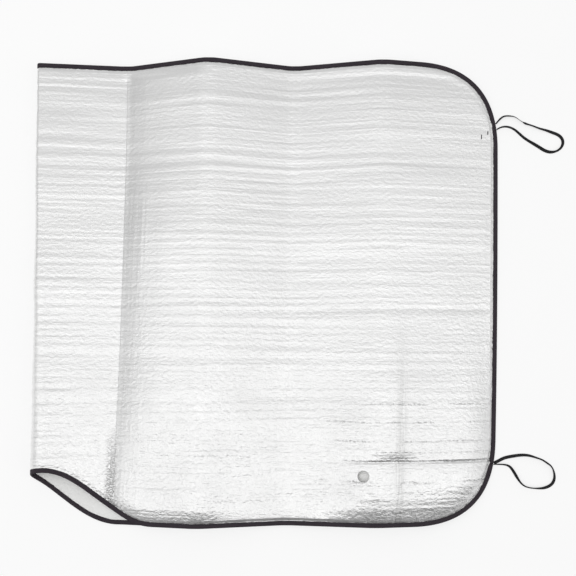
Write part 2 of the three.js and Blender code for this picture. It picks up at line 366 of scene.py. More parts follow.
def notchedSide(s):
    return border + cornerRise(fromEnd(s)) + notchRise(s - fold["offset"])


def straightSide(s):
    return sheet["height"] - border - cornerRise(fromEnd(s))


# Outward direction of the set-in outline: from the slopes of its curves.
def outlineNormal(s, sideSign):
    inward = fromEnd(s)
    corner = np.stack([np.sign(s) * np.sqrt(cornerRise(inward)), sideSign * np.sqrt(inward)], -1)
    step = outline["slopeStep"]
    ahead, behind = notchRise(s + step - fold["offset"]), notchRise(s - step - fold["offset"])
    lean = (ahead - behind) / (2 * step)
    plain = np.stack([lean if sideSign < 0 else np.zeros_like(s), np.full_like(s, sideSign)], -1)
    return unit(np.where((inward < swellReach)[:, None], corner, plain))


# The sheet is placed by its end with the loops, at the CAD sheet's box.
placed = np.zeros(3)
endLow, endHigh = sheet["cornerReach"], sheet["height"] - sheet["cornerReach"]
endLine = np.linspace(endLow, endHigh, outline["endPoints"])
rimHeight = np.full_like(endLine, tape["pinched"] / 2)
endRim = offsetPoint(np.full_like(endLine, upperLength), endLine, rimHeight)
sheetLow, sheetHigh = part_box("shade_sheet")
placed = np.array([sheetHigh.x - endRim[:, 0].max(), -sheet["height"] / 2, sheetLow.z])
print("sheet placed at", np.round(placed, 5).tolist())


def makeCamera():
    camera = bpy.data.cameras.new("camera")
    camera.lens = cameraView["lens"]
    camera.shift_y = cameraView["shift"]
    holder = bpy.data.objects.new("camera", camera)
    bpy.context.scene.collection.objects.link(holder)
    tilt, distance = cameraView["tilt"], cameraView["distance"]
    x = cameraView["targetX"] + placed[0]
    y = cameraView["targetY"] + placed[1]
    holder.location = (x, y - distance * math.sin(tilt), distance * math.cos(tilt))
    holder.rotation_euler = (tilt, 0, 0)
    bpy.context.scene.camera = holder


makeCamera()
print("camera made")


# Stations round the outline, anticlockwise seen from the foil: place and outward direction in
# the flat pattern, evenly spaced along the tape, with the run along it and its whole length.
def outlineStations(spacing):
    inner = np.linspace(lowEnd + swellReach, highEnd - swellReach, outline["sidePoints"])[1:-1]
    s = withCorners(np.linspace(0, 1, outline["cornerPoints"]), inner)
    low = np.stack([s, notchedSide(s)], -1)
    high = np.stack([s, straightSide(s)], -1)[::-1]
    places = np.concatenate([low, high])
    normals = np.concatenate([outlineNormal(s, -1), outlineNormal(s, 1)[::-1]])
    rim = places + normals * border
    rim = np.concatenate([rim, rim[:1]])
    run = runAlong(rim)
    count = int(round(run[-1] / spacing))
    wanted = np.arange(count) * run[-1] / count
    closed = [np.concatenate([values, values[:1]]) for values in (places, normals)]
    columns = [np.interp(wanted, run, values[:, k]) for values in closed for k in (0, 1)]
    return np.stack(columns[:2], -1), unit(np.stack(columns[2:], -1)), wanted, run[-1]


# Points beside the outline: distance outwards in the pattern, height towards the foil.
def besideOutline(places, normals, distance, height):
    point = places + normals * np.asarray(distance)[..., None]
    return offsetPoint(point[..., 0], point[..., 1], np.broadcast_to(height, point.shape[:-1]))


# Elastic loops

# A route from where the elastic leaves the binding, in metres.
upperStrap = {
    "exitY": 0.2635,
    "route": [
        (0, 0), (0.0065, 0.0075), (0.012, 0.0115), (0.0205, 0.0125), (0.029, 0.011),
        (0.0375, 0.0055), (0.0455, 0.001), (0.056, -0.0025), (0.0665, -0.0065), (0.077, -0.0095),
        (0.089, -0.0135), (0.099, -0.0185), (0.1035, -0.026), (0.102, -0.034), (0.096, -0.0405),
        (0.087, -0.0435), (0.078, -0.042), (0.068, -0.0365), (0.056, -0.0295), (0.0435, -0.0215),
        (0.035, -0.014), (0.0265, -0.0075), (0.018, -0.0045), (0.009, -0.005), (0.001, -0.0085),
    ],
    # how far it leans over, in degrees, at shares of its length
    "lean": [
        (0, 20), (0.05, 34), (0.10, 38), (0.16, 24), (0.20, 14), (0.215, 66), (0.235, 42),
        (0.30, 46), (0.36, 62), (0.40, 84), (0.46, 90), (0.50, 82), (0.54, 46), (0.58, 28),
        (0.62, 64), (0.66, 78), (0.70, 60), (0.76, 36), (0.84, 28), (0.90, 18), (1, 16),
    ],
}
lowerStrap = {
    "exitY": -0.2575,
    "route": [
        (0, 0), (0.0075, 0.0035), (0.0145, 0.007), (0.0265, 0.010), (0.0405, 0.012),
        (0.0535, 0.0115), (0.064, 0.0085), (0.0735, 0.005), (0.0815, 0), (0.088, -0.0055),
        (0.0915, -0.0135), (0.0925, -0.022), (0.090, -0.030), (0.0835, -0.0355), (0.0755, -0.038),
        (0.0655, -0.0385), (0.0545, -0.0375), (0.046, -0.0345), (0.040, -0.029), (0.0345, -0.0205),
        (0.0285, -0.0105), (0.023, -0.0046), (0.016, -0.0024), (0.008, -0.0019), (0.001, -0.0018),
    ],
    "lean": [
        (0, 62), (0.05, 72), (0.12, 78), (0.20, 58), (0.27, 38), (0.32, 24), (0.36, 34),
        (0.42, 30), (0.46, 48), (0.52, 82), (0.58, 74), (0.62, 46), (0.66, 26), (0.74, 22),
        (0.78, 28), (0.82, 54), (0.88, 44), (0.93, 30), (1, 22),
    ],
}
strap = {
    "width": 0.005, "thickness": 0.0008, "clearance": 0.0006, "floorGap": 0.0003,
    "edgeStep": 0.002, "stations": 240, "sides": 20,
    "roundness": 0.55,  # power of sin and cos in its section
    "smoothing": 7,  # stations that its lean is averaged over
}


# A natural cubic spline through the points, with the chord lengths as its parameter: second
# slopes solved together, then the cubic of each stretch.
def splineThrough(points, count):
    chord = runAlong(points)
    gap = np.diff(chord)
    size = len(points)
    system = np.eye(size)
    right = np.zeros_like(points)
    inner = np.arange(1, size - 1)
    system[inner, inner - 1] = gap[:-1]
    system[inner, inner] = 2 * (gap[:-1] + gap[1:])
    system[inner, inner + 1] = gap[1:]
    slope = np.diff(points, axis=0) / gap[:, None]
    right[1:-1] = 6 * np.diff(slope, axis=0)
    second = np.linalg.solve(system, right)
    at = np.linspace(0, chord[-1], count)
    stretch = np.clip(np.searchsorted(chord, at, side="right") - 1, 0, size - 2)
    width = gap[stretch][:, None]
    a = (chord[stretch + 1] - at)[:, None] / width
    b = 1 - a
    bend = ((a ** 3 - a) * second[stretch] + (b ** 3 - b) * second[stretch + 1]) * width ** 2 / 6
    return a * points[stretch] + b * points[stretch + 1] + bend


# The binding's outer edge at the end with the loops, in order of Y.
def loopEdge():
    places, normals, _, _ = outlineStations(strap["edgeStep"])
    atEnd = places[:, 0] > upperLength - sheet["cornerReach"]
    crest = besideOutline(places[atEnd], normals[atEnd], tape["crest"], 0)
    return crest[np.argsort(crest[:, 1])]


edgeLine = loopEdge()


# X of that edge at the given Y.
def bindingEdgeX(y):
    return float(np.interp(y, edgeLine[:, 1], edgeLine[:, 0]))


# Flat elastic: a rounded rectangle, sides of sin and cos to a low power, swept along the route.
# It leans over more and less along its length, and its height keeps its lowest edge just clear
# of the floor.
def makeStrap(name, values, node, surface):
    exitX = bindingEdgeX(values["exitY"]) + strap["clearance"]
    route = np.array(values["route"]) + [exitX, values["exitY"]]
    route[-1, 0] = bindingEdgeX(route[-1, 1]) + strap["clearance"]
    line = splineThrough(route, strap["stations"])
    share = np.linspace(0, 1, len(line))
    at, degrees = np.array(values["lean"]).T
    lean = np.radians(np.interp(share, at, degrees))
    window = np.full(strap["smoothing"], 1 / strap["smoothing"])
    lean = np.convolve(np.pad(lean, len(window) // 2, mode="edge"), window, "valid")
    half, thin = strap["width"] / 2, strap["thickness"] / 2
    height = strap["floorGap"] + half * np.abs(np.cos(lean)) + thin * np.abs(np.sin(lean))
    along = unit(np.gradient(line, axis=0))
    sideways = np.stack([along[:, 1], -along[:, 0], np.zeros(len(line))], -1)
    up = np.array([0, 0, 1.0])
    broad = np.cos(lean)[:, None] * up + np.sin(lean)[:, None] * sideways
    narrow = np.cos(lean)[:, None] * sideways - np.sin(lean)[:, None] * up
    sides = strap["sides"]
    turn = roundTurn(sides)
    wide = half * np.sign(np.cos(turn)) * np.abs(np.cos(turn)) ** strap["roundness"]
    deep = thin * np.sign(np.sin(turn)) * np.abs(np.sin(turn)) ** strap["roundness"]
    centreLine = np.concatenate([line, height[:, None]], -1)
    points = centreLine[:, None] + wide[:, None] * broad[:, None] + deep[:, None] * narrow[:, None]
    run = runAlong(centreLine)
    uv = np.stack(np.broadcast_arrays(run[:, None], wide[None, :]), -1)
    numbers = np.arange(points.shape[0] * sides).reshape(-1, sides)
    quads = gridQuads(numbers, closeColumns=True)
    piece = meshObject(name, points, quads, uv, [surface], (numbers[0], numbers[-1][::-1]))
    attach(piece, body)
    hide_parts(node)
    print(name, "is", round(float(run[-1]) * 1000), "mm long")


elasticLook = {
    "ribs": 7000,  # radians a metre
    "picks": 9000, "fray": 900, "depth": 0.00006, "dark": (0.009, 0.009, 0.010, 1),
    "light": (0.022, 0.021, 0.023, 1),
}


# Woven elastic: its height is the sine of the place across it, plus half the sine of the place
# along it, plus noise for the fray.
def elasticSurface():
    look = elasticLook
    shader = Shader("elastic", Roughness=0.82, Specular_IOR_Level=0.25)
    along, across = shader.places()
    ribs = (across * look["ribs"]).sine()
    picks = (along * look["picks"]).sine()
    fray = shader.noise(shader.flat(), look["fray"])
    return shader.dressed(look, ribs + picks * 0.5 + fray, fray)


elastic = elasticSurface()
makeStrap("upper_elastic", upperStrap, "upper_strap_loop", elastic)
makeStrap("lower_elastic", lowerStrap, "lower_strap_loop", elastic)


# Foil and foam sheet

relief = {
    "ripplePitch": 0.0135, "rippleHeight": 0.00028, "phaseDrift": 1.1, "waveHeight": 0.0008,
    "fineHeight": 0.00014,
    "valley": 0.0015,  # first crease
    "underHole": 0.0100,  # lower layer, up against the hole in the upper one
    "underHoleAt": -0.526, "underHoleReach": 0.03,
    "calm": (0.0005, 0.012),  # distances from the tape over which the relief sets in
}
# Strength of the ripples: its mean and drift, with pairs for where each change sets in.
ripple = {
    "mean": 0.6, "drift": 0.5, "nearFold": 0.3, "nearFoldAlong": (0.12, 0.16),
    "notchSide": 0.5, "notchSideAcross": (0.30, 0.45), "calm": 0.65,
    "calmAlong": (0.36, 0.50), "calmAcross": (0.28, 0.42),
}
# The fuller second panel, just right of the first crease.
shoulder = {
    "height": 0.0078, "across": (0.06, 0.18), "lower": 0.5, "lowerAcross": (0.44, 0.58),
    "before": 0.002, "rise": 0.062, "steeper": 0.012, "steeperAcross": (0.2, 0.4),
    "fall": (0.060, 0.150),
}
# The groove that runs to the lower loop, and the dent where it starts, on the last ridge.
pull = {"depth": 0.0008, "at": 0.098, "far": 0.006, "near": 0.03, "along": (0.44, 0.54)}
dent = {"depth": 0.0042, "at": 0.572, "reach": 0.032, "far": 0.010, "near": 0.05}
roll = {
    "height": 0.0082, "atLoops": (0.46, 0.56), "nearFold": (0.26, 0.34), "reach": 0.014,
    "reachAtLoops": 0.038, "reachNearFold": 0.012, "broad": 0.25, "broadAtLoops": 1.25,
    "broadFade": (0.06, 0.40), "local": 0.55, "localFade": (0.03, 0.19),
    "start": (0.11, 0.16),
}
# Steps of the sheet's grid: pairs are a reach and the step within it.
grid = {
    "samples": 6000, "rows": 218, "cornerColumns": 22, "upper": 0.0085, "lower": 0.026,
    "nearFold": (0.044, 0.0045), "inFold": (0.015, 0.0014),
    "crease": (fold["band"] + 0.002, 0.0042),
    "firstCrease": (0.010, 0.0016),
    "rings": (0.0016, 0.0032, 0.0046),  # in the border, outwards from the face
    "lastRing": 0.004,  # inwards from the rim
    "pinchStart": 0.0008, "floorGap": 0.0001,
    "sharp": 38,  # degrees
}
cupHole = {
    "diameter": 0.018, "fromMiddle": 0.496, "fromEdge": 0.077, "sides": 48, "reach": 0.0028,
    "normalStep": 0.001,
}


# Columns of the grid: even steps of a density that is closer in the fold and the creases, and
# squared steps in the corners.
def sheetColumns():
    fine = np.linspace(lowEnd + swellReach, highEnd - swellReach, grid["samples"])
    away = np.abs(fine)
    toCrease = np.abs((away + pitch / 2) % pitch - pitch / 2)
    toCrease = np.where(away > pitch / 2, toCrease, pitch)
    step = np.where(fine > 0, grid["upper"], grid["lower"])
    for distance, (reach, closer) in (
        (away, grid["nearFold"]), (away, grid["inFold"]), (toCrease, grid["crease"]),
        (np.abs(fine - pitch), grid["firstCrease"]),
    ):
        step = np.where(distance < reach, np.minimum(step, closer), step)
    run = np.concatenate([[0], np.cumsum(np.diff(fine) / step[1:])])
    steady = np.interp(np.linspace(0, run[-1], int(round(run[-1])) + 1), run, fine)
    return withCorners(np.linspace(0, 1, grid["cornerColumns"] + 1)[:-1], steady)


# Height of both faces off the smooth surface: straight ripples that run along the sheet, a sine
# of the place across it whose phase and strength drift, broader waves and finer ones, less a
# bell exp(-d^2) that presses the lower layer up under the cup hole.
def sheetRelief(s, t):
    phase = t / relief["ripplePitch"] + relief["phaseDrift"] * latticeNoise(s / 0.7, t / 0.03, 3)
    strength = ripple["mean"] + ripple["drift"] * latticeNoise(s / 0.3 + 5, t / 0.02, 4)
    strength = strength + ripple["nearFold"] * (1 - smoothStep(s, *ripple["nearFoldAlong"]))
    straightHalf = smoothStep(t, *ripple["notchSideAcross"])
    strength = strength * (1 + ripple["notchSide"] - ripple["notchSide"] * straightHalf)
    calm = smoothStep(s, *ripple["calmAlong"]) * smoothStep(t, *ripple["calmAcross"])
    strength = strength * (1 - ripple["calm"] * calm)
    height = relief["rippleHeight"] * np.sin(2 * math.pi * phase) * strength
    height = height + relief["waveHeight"] * latticeNoise(s / 0.2, t / 0.04, 5)
    height = height + relief["fineHeight"] * latticeNoise(s / 0.05, t / 0.009, 6)
    along = (s - relief["underHoleAt"]) / relief["underHoleReach"]
    across = (t - cupHole["fromEdge"]) / relief["underHoleReach"]
    return height - relief["underHole"] * np.exp(-along ** 2 - across ** 2)


# Height of the upper layer alone: the fuller panel as 1 - (1 - rising)^2 that falls off again,
# less the first crease pressed to a V, (1 - |past| / band)^2, the pulled groove as exp(-d) and
# the dent as exp(-d^2), both steep on their far side and long on their near one.
def upperRelief(s, t):
    past = s - pitch
    middle = smoothStep(t, *shoulder["across"])
    middle = middle * (1 - shoulder["lower"] * smoothStep(t, *shoulder["lowerAcross"]))
    width = shoulder["rise"] - shoulder["steeper"] * smoothStep(t, *shoulder["steeperAcross"])
    rising = np.clip((past + shoulder["before"]) / width, 0, 1)
    fuller = (1 - (1 - rising) ** 2 - smoothStep(past, *shoulder["fall"])) * middle
    valley = np.maximum(0, 1 - np.abs(past) / fold["band"]) ** 2
    above = t - pull["at"]
    grooveWidth = np.where(above > 0, pull["far"], pull["near"])
    groove = np.exp(-np.abs(above) / grooveWidth) * smoothStep(s, *pull["along"])
    dentWidth = np.where(above > 0, dent["far"], dent["near"])
    hollow = np.exp(-((s - dent["at"]) / dent["reach"]) ** 2 - (above / dentWidth) ** 2)
    height = shoulder["height"] * fuller - relief["valley"] * valley
    return (height - pull["depth"] * groove - dent["depth"] * hollow) * (s > 0)


beyondTape = tape["margin"] + tape["swell"]


# Rolled edge on the notched side, higher near the loops and right beside the tape near the fold:
# 1 - (1 - share)^2 of the distance in from the tape, dying away further in.
def edgeRoll(s, t, inside):
    atLoops = smoothStep(s, *roll["atLoops"])
    nearFold = 1 - smoothStep(s, *roll["nearFold"])
    reach = roll["reach"] + roll["reachAtLoops"] * atLoops + roll["reachNearFold"] * nearFold
    share = np.clip(inside / reach, 0, 1)
    broad = roll["broad"] + roll["broadAtLoops"] * atLoops
    broad = broad * (1 - smoothStep(t, *roll["broadFade"]))
    local = roll["local"] * nearFold * (1 - smoothStep(t, *roll["localFade"]))
    started = smoothStep(s, *roll["start"])
    return roll["height"] * (broad + local) * (1 - (1 - share) ** 2) * started


# All of the relief at points that lie inset from the tape, calmed beside it.
def reliefAt(s, t, inset):
    calm = smoothStep(inset, *relief["calm"])
    return (sheetRelief(s, t) + upperRelief(s, t)) * calm + edgeRoll(s, t, inset + beyondTape)


# The sheet as two faces half its thickness off the middle surface, each with rings out to the
# pinched rim, where 3f^2 - 2f^3 thins it under the tape. The foil is on the upper side.
def makeSheet(foil, foam):
    s = sheetColumns()
    share = np.linspace(0, 1, grid["rows"] + 1)
    low, high = notchedSide(s), straightSide(s)
    gridS = np.repeat(s[:, None], len(share), 1)
    gridT = low[:, None] + (high - low)[:, None] * share
    numbers = np.arange(gridS.size).reshape(gridS.shape)
    lowEdge, upperEnd = numbers[:-1, 0], numbers[-1, :-1]
    highEdge, lowerEnd = numbers[:0:-1, -1], numbers[0, :0:-1]
    loop = np.concatenate([lowEdge, upperEnd, highEdge, lowerEnd])
    flatS, flatT = gridS.ravel(), gridT.ravel()
    places = np.stack([flatS[loop], flatT[loop]], -1)
    rowCount = len(share)
    lowNormals, highNormals = outlineNormal(s, -1), outlineNormal(s, 1)
    lowNormals[[0, -1]] = highNormals[[0, -1]] = [[-1, 0], [1, 0]]
    endNormals = np.tile([1.0, 0], (rowCount - 2, 1))
    normals = np.concatenate([lowNormals, endNormals, highNormals[::-1], -endNormals])
    toLow, toHigh = flatT - np.repeat(low, rowCount), np.repeat(high, rowCount) - flatT
    inset = np.minimum(np.minimum(toLow, toHigh), np.repeat(fromEnd(s), rowCount))
    height = reliefAt(flatS, flatT, inset)
    half, pinched = sheet["thickness"] / 2, tape["pinched"] / 2
    points, uvs, quads, rims = [], [], [], []
    rings = [*grid["rings"], border - grid["lastRing"], border]
    rise = smoothStep(-np.array(rings), -tape["swell"], grid["pinchStart"])
    start = 0
    for side in (1, -1):
        points.append(offsetPoint(flatS, flatT, side * half + height))
        uvs.append(np.stack([flatS, flatT], -1))
        rows = [loop + start]
        offset = start + len(flatS)
        for distance, thickShare in zip(rings, rise):
            thick = pinched + (half - pinched) * thickShare
            beside = places + normals * distance
            lift = edgeRoll(beside[:, 0], beside[:, 1], max(0, beyondTape - distance))
            points.append(offsetPoint(beside[:, 0], beside[:, 1], side * thick + lift))
            uvs.append(beside)
            rows.append(offset + np.arange(len(loop)))
            offset += len(loop)
        face = gridQuads(numbers + start)
        strip = gridQuads(np.array(rows), closeColumns=True)
        quads.append(face if side > 0 else face[:, ::-1])
        quads.append(strip[:, ::-1] if side > 0 else strip)
        rims.append(rows[-1])
        start = offset
    edge = gridQuads(np.array(rims), closeColumns=True)
    quads.append(edge[:, ::-1])
    onFoil = len(quads[0]) + len(quads[1])
    allQuads = np.concatenate(quads)
    allPoints = np.concatenate(points)
    allPoints[:, 2] = np.maximum(allPoints[:, 2], grid["floorGap"])
    piece = meshObject("foil_sheet", allPoints, allQuads, np.concatenate(uvs), [foil, foam])
    slots = np.ones(len(allQuads), np.int32)
    slots[:onFoil] = 0
    piece.data.polygons.foreach_set("material_index", slots)
    return piece


# Holes for the suction cups, cut square to the sheet where each one stands.
def cutCupHoles(piece, foam):
    turn = roundTurn(cupHole["sides"])
    for sign in (1, -1):
        s = np.array([fold["offset"] + sign * cupHole["fromMiddle"]])
        t = np.array([cupHole["fromEdge"]])
        height = reliefAt(s, t, t - notchedSide(s))
        centre = offsetPoint(s, t, height)[0]
        normal = unit(centre - offsetPoint(s, t, height - cupHole["normalStep"])[0])
        across = unit(np.cross(normal, [1.0, 0, 0]))
        along = np.cross(across, normal)
        radius = cupHole["diameter"] / 2
        ring = radius * (np.cos(turn)[:, None] * along + np.sin(turn)[:, None] * across)
        depth = normal * cupHole["reach"]
        points = np.stack([centre + ring - depth, centre + ring + depth])
        numbers = np.arange(2 * len(turn)).reshape(2, -1)
        caps = (numbers[0][::-1], numbers[-1])
        quads = gridQuads(numbers, closeColumns=True)
        cutter = meshObject("cutter", points, quads, ring[:, :2].repeat(2, 0), [foam], caps)
        turnOutwards(cutter)
        modifier = piece.modifiers.new("punch", "BOOLEAN")
        modifier.operation = "DIFFERENCE"
        modifier.solver = "EXACT"
        modifier.material_mode = "TRANSFER"
        modifier.object = cutter
        applyModifiers(piece)
        bpy.data.objects.remove(cutter)


# Broken lines in the foil: place across the sheet, depth and half width.
foilLines = [
    (0.1285, 0.8, 0.0020), (0.157, 0.9, 0.0019), (0.184, 0.9, 0.0020), (0.262, 0.5, 0.0040),
    (0.112, 0.6, 0.0020), (0.068, 1.3, 0.0030), (0.040, 1.2, 0.0030),
]
# Noises in the pattern: stretch along and across it, scale and detail.
foilNoises = {
    "ripples": (2.5, 105, 1.0, 2.0), "dimples": (0.7, 1, 230, 2.0),
    "grain": (1, 1, 620, 2.0), "speckle": (0.6, 1.2, 330, 2.0), "patches": (1, 4, 16, 1.0),
    "drift": (14, 0, 1.0, 1.0), "upright": (150, 7, 1.0, 2.0),
    "streaks": (190, 9, 1.0, 2.0), "uneven": (1, 1, 14, 3.0), "clouds": (1, 1, 8, 3.0),
}
# Pairs are the ends of a smooth step.
foilLook = {
    "depth": 0.0007, "calmAcross": (0.20, 0.55),
    "lineSpeckle": (0.38, 0.66), "linePatches": (0.36, 0.58), "lineAlong": (0.42, 0.52),
    "driftWidth": 0.004,
    "uprightPast": 0.022, "uprightWidth": (0.010, 0.034), "uprightAcross": (0.46, 0.54),
    "cornerBefore": 0.003, "cornerWidth": (0.003, 0.013), "cornerAcross": (0.06, 0.17),
    "cornerSpeckle": (0.44, 0.60),
    "pullWidth": (0.0, 0.0036), "pullAlong": (0.46, 0.53), "pullEnd": (0.60, 0.68),
    "firstCrease": (0.0022, -0.5), "laterCrease": (0.005, 0.35),  # width and weight
    "ridgePast": 0.031, "ridgeWidth": (0.002, 0.013), "ridgeAcross": (0.10, 0.36),
    # the ridge's streaks, and the specks that take painted shade in the crease corner
    "streaks": (0.30, 0.60), "paintedShadeSpeckle": (0.46, 0.58),
    "dark": (0.85, 0.85, 0.845, 1), "light": (0.91, 0.91, 0.91, 1),
    # painted shade: grey for darker reflections on the last ridge and in the crease corner
    "paintedShade": (0.58, 0.58, 0.575, 1),
}


# Aluminium foil bonded to foam. Its height adds up long fine ripples, dimples and grain, less
# broken lines across the end panels, plus upright ripples beside the first crease, speckles in
# its corner, less the pulled line, and in each crease a line that dies away by the smooth step
# of |s - crease|. Painted shade: streaks of noise on the last ridge and specks in the corner of
# the first crease turn the foil's colour towards a grey, for darker reflections there.
def foilSurface():
    look = foilLook
    shader = Shader("foil", Metallic=0.9, Roughness=0.34)
    s, t = shader.places()
    ripples, dimples, grain, speckle, patches, drift, upright, streaks, uneven, clouds = [
        shader.noise(shader.flat(*stretch), scale, detail)
        for *stretch, scale, detail in foilNoises.values()
    ]
    rough = 1 - t.step(*look["calmAcross"]) * 0.45
    height = ripples * 1.4 + (dimples * 1.4 + grain * 0.55) * rough
    broken = speckle.step(*look["lineSpeckle"]) * patches.step(*look["linePatches"]) + 0.06
    drift = (drift - 0.5) * look["driftWidth"]
    wide = s.step(*look["lineAlong"])
    for at, depth, spread in foilLines:
        height = height - (t - at + drift).near(0.0, spread) * broken * wide * depth
    upright = upright * (s - pitch - look["uprightPast"]).near(*look["uprightWidth"])
    height = height + upright * (1.3 - t.step(*look["uprightAcross"]))
    corner = (s - pitch + look["cornerBefore"]).near(*look["cornerWidth"])
    corner = corner * (1 - t.step(*look["cornerAcross"]))
    height = height + speckle.step(*look["cornerSpeckle"]) * corner * 1.3
    line = (t - pull["at"] + drift).near(*look["pullWidth"]) * s.step(*look["pullAlong"])
    height = height - line * (0.4 + 1.6 * speckle) * (1 + s.step(*look["pullEnd"]) * 1.3)
    creaseCount = len(fold["heights"])
    for number in range(1, creaseCount + 1):
        width, weight = look["firstCrease" if number == 1 else "laterCrease"]
        height = height + (s - number * pitch).near(0.0, width) * weight
    ridge = (s - creaseCount * pitch - look["ridgePast"]).near(*look["ridgeWidth"])
    ridge = ridge * (1 - t.step(*look["ridgeAcross"])) * streaks.step(*look["streaks"])
    shader.feed("Normal", shader.bump(height + ridge * 0.6, look["depth"]))
    shader.feed("Roughness", 0.25 + uneven * 0.16)
    colour = shader.mixColour(clouds, look["dark"], look["light"])
    # painted shade: darker reflections on the last ridge and specks in the crease corner
    paintedShade = ridge * 0.5 + corner * speckle.step(*look["paintedShadeSpeckle"]) * 0.45
    shader.feed("Base Color", shader.mixColour(paintedShade, colour, look["paintedShade"]))
    return shader.material


foamLook = {
    "cells": 700.0, "driftScale": 30, "depth": 0.00025, "dark": (0.84, 0.84, 0.83, 1),
    "light": (0.90, 0.90, 0.89, 1),
}


# Closed-cell foam: its height is the distance to the nearest Voronoi cell, plus twice a slow
# noise, which is also the share of the lighter white.
def foamSurface():
    look = foamLook
    shader = Shader("foam", Roughness=0.62, Specular_IOR_Level=0.35)
    flat = shader.flat()
    inputs = {"Vector": flat, "Scale": look["cells"]}
    cells = shader.node("ShaderNodeTexVoronoi", {"feature": "F1"}, inputs)[0]
    drift = shader.noise(flat, look["driftScale"], 3.0)
    return shader.dressed(look, cells + drift * 2, drift)


foil, foam = foilSurface(), foamSurface()
sheetPiece = makeSheet(foil, foam)
cutCupHoles(sheetPiece, foam)
sheetPiece.data.set_sharp_from_angle(angle=math.radians(grid["sharp"]))
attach(sheetPiece, body)
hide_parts("shade_sheet")
print("sheet made,", len(sheetPiece.data.polygons), "faces")


# Binding: woven tape folded in half round the edge

# Profile of the tape as distance outwards and height: two flat legs and a half round nose, an
# outer line and an inner one a tape's thickness away.
def tapeProfile(noseSteps=7, legSteps=4):
    mouth = border - tape["width"]
    noseStart = tape["crest"] - tape["outer"]
    legs = np.linspace(mouth, noseStart, legSteps)
    turn = np.linspace(math.pi / 2, -math.pi / 2, noseSteps)
    outerX = np.concatenate([legs[:-1], noseStart + tape["outer"] * np.cos(turn), legs[:-1][::-1]])
    outerY = np.concatenate([np.full(legSteps - 1, tape["outer"]), tape["outer"] * np.sin(turn),
                             np.full(legSteps - 1, -tape["outer"])])
    gap = tape["outer"] - tape["thickness"]
    innerTurn = np.linspace(-math.pi / 2, math.pi / 2, noseSteps - 2)
    innerX = np.concatenate([legs[:1], noseStart + gap * np.cos(innerTurn), legs[:1]])
    innerY = np.concatenate([[-gap], gap * np.sin(innerTurn), [gap]])
    around = np.concatenate([outerX, innerX])
    height = np.concatenate([outerY, innerY])
    width = np.concatenate([np.arange(len(outerX)), len(outerX) - 1 + np.zeros(len(innerX))])
    return around, height, width * 2 * tape["width"] / len(outerX)


tapePlaces, tapeNormals, tapeRun, tapeLength = outlineStations(tape["step"])
tapeCrest = besideOutline(tapePlaces, tapeNormals, tape["crest"], 0)


# Run of the tape where its outer edge at the end with the loops has the given Y.
def runAtExit(y):
    elsewhere = tapePlaces[:, 0] < upperLength - sheet["cornerReach"]
    return tapeRun[np.argmin(np.abs(tapeCrest[:, 1] - y) + elsewhere)]


# The profile swept round the outline. Its inner edges waver by lattice noise and reach further
# in by a bell exp(-d^2) over each loop, less and less towards the nose.
def makeBinding(surface):
    places, normals, run = tapePlaces, tapeNormals, tapeRun
    around, height, width = tapeProfile()
    sides = len(around)
    wobble = np.zeros(len(run))
    for rise, length, seed in (tape["wobble"], tape["fray"]):
        wobble = wobble + rise * latticeNoise(run / length, run * 0, seed)
    rise, reach = tape["overLoop"]
    for values in (upperStrap, lowerStrap):
        wobble = wobble + rise * np.exp(-((run - runAtExit(values["exitY"])) / reach) ** 2)
    nose = smoothStep(around, border - tape["width"], tape["crest"])
    distance = around[None, :] + wobble[:, None] * (1 - nose)[None, :]
    allHeights = np.broadcast_to(height, distance.shape)
    points = besideOutline(places[:, None, :], normals[:, None, :], distance, allHeights)
    uv = np.stack(np.broadcast_arrays(run[:, None], width[None, :]), -1)
    numbers = np.arange(len(run) * sides).reshape(-1, sides)
    quads = gridQuads(numbers, closeRows=True, closeColumns=True)
    piece = meshObject("binding_tape", points, quads, uv, [surface])
    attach(piece, body)
    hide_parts("edge_binding")
    print("binding made,", round(tapeLength, 3), "m round")
    return piece


tapeLook = {
    "ribs": 7400,  # radians a metre
    "threads": 5200, "lint": 600, "depth": 0.00007, "wear": 24,
    "dark": (0.022, 0.017, 0.022, 1), "light": (0.042, 0.033, 0.042, 1),
}


# Woven polyester: its height is the sine of the place along it, plus part of the sine of the
# place across it that the first one shifts, plus noise for lint.
def tapeSurface():
    look = tapeLook
    shader = Shader("tape", Roughness=0.78, Specular_IOR_Level=0.3)
    along, across = shader.places()
    ribs = (along * look["ribs"]).sine()
    threads = (across * look["threads"] + ribs * 0.8).sine()
    lint = shader.noise(shader.flat(), look["lint"], 3.0)
    wear = shader.noise(shader.flat(), look["wear"], 3.0)
    return shader.dressed(look, ribs + threads * 0.6 + lint, wear)


binding = makeBinding(tapeSurface())


# Thread: a seam round the tape on both faces, and bar tacks over the ends of the elastic

thread = {
    "radius": 0.00017, "step": 0.0008,
    "perStitch": 4,  # steps from one stitch to the next, of which it covers all but one
    "fromMouth": 0.0015, "tackStitches": 9, "tackFromMouth": 0.0008,
    "tackFromCrest": 0.0013,
    "footTacks": ((0.7035, 0.5920, 0.009), (0.7140, 0.5985, 0.007)),  # upper loop: s, t, length
    "footStitches": 5,
    "footPitch": 1.8,  # in radii
    "sides": 5,
    "along": (0, 0.18, 0.5, 0.82, 1),  # shares of a stitch, with its radius and lift in radii
    "radii": (0.3, 0.9, 1, 0.9, 0.3), "lifts": (-1.2, 0.3, 0.6, 0.3, -1.2),
    "normalStep": 0.01, "floorGap": 0.00002,
}


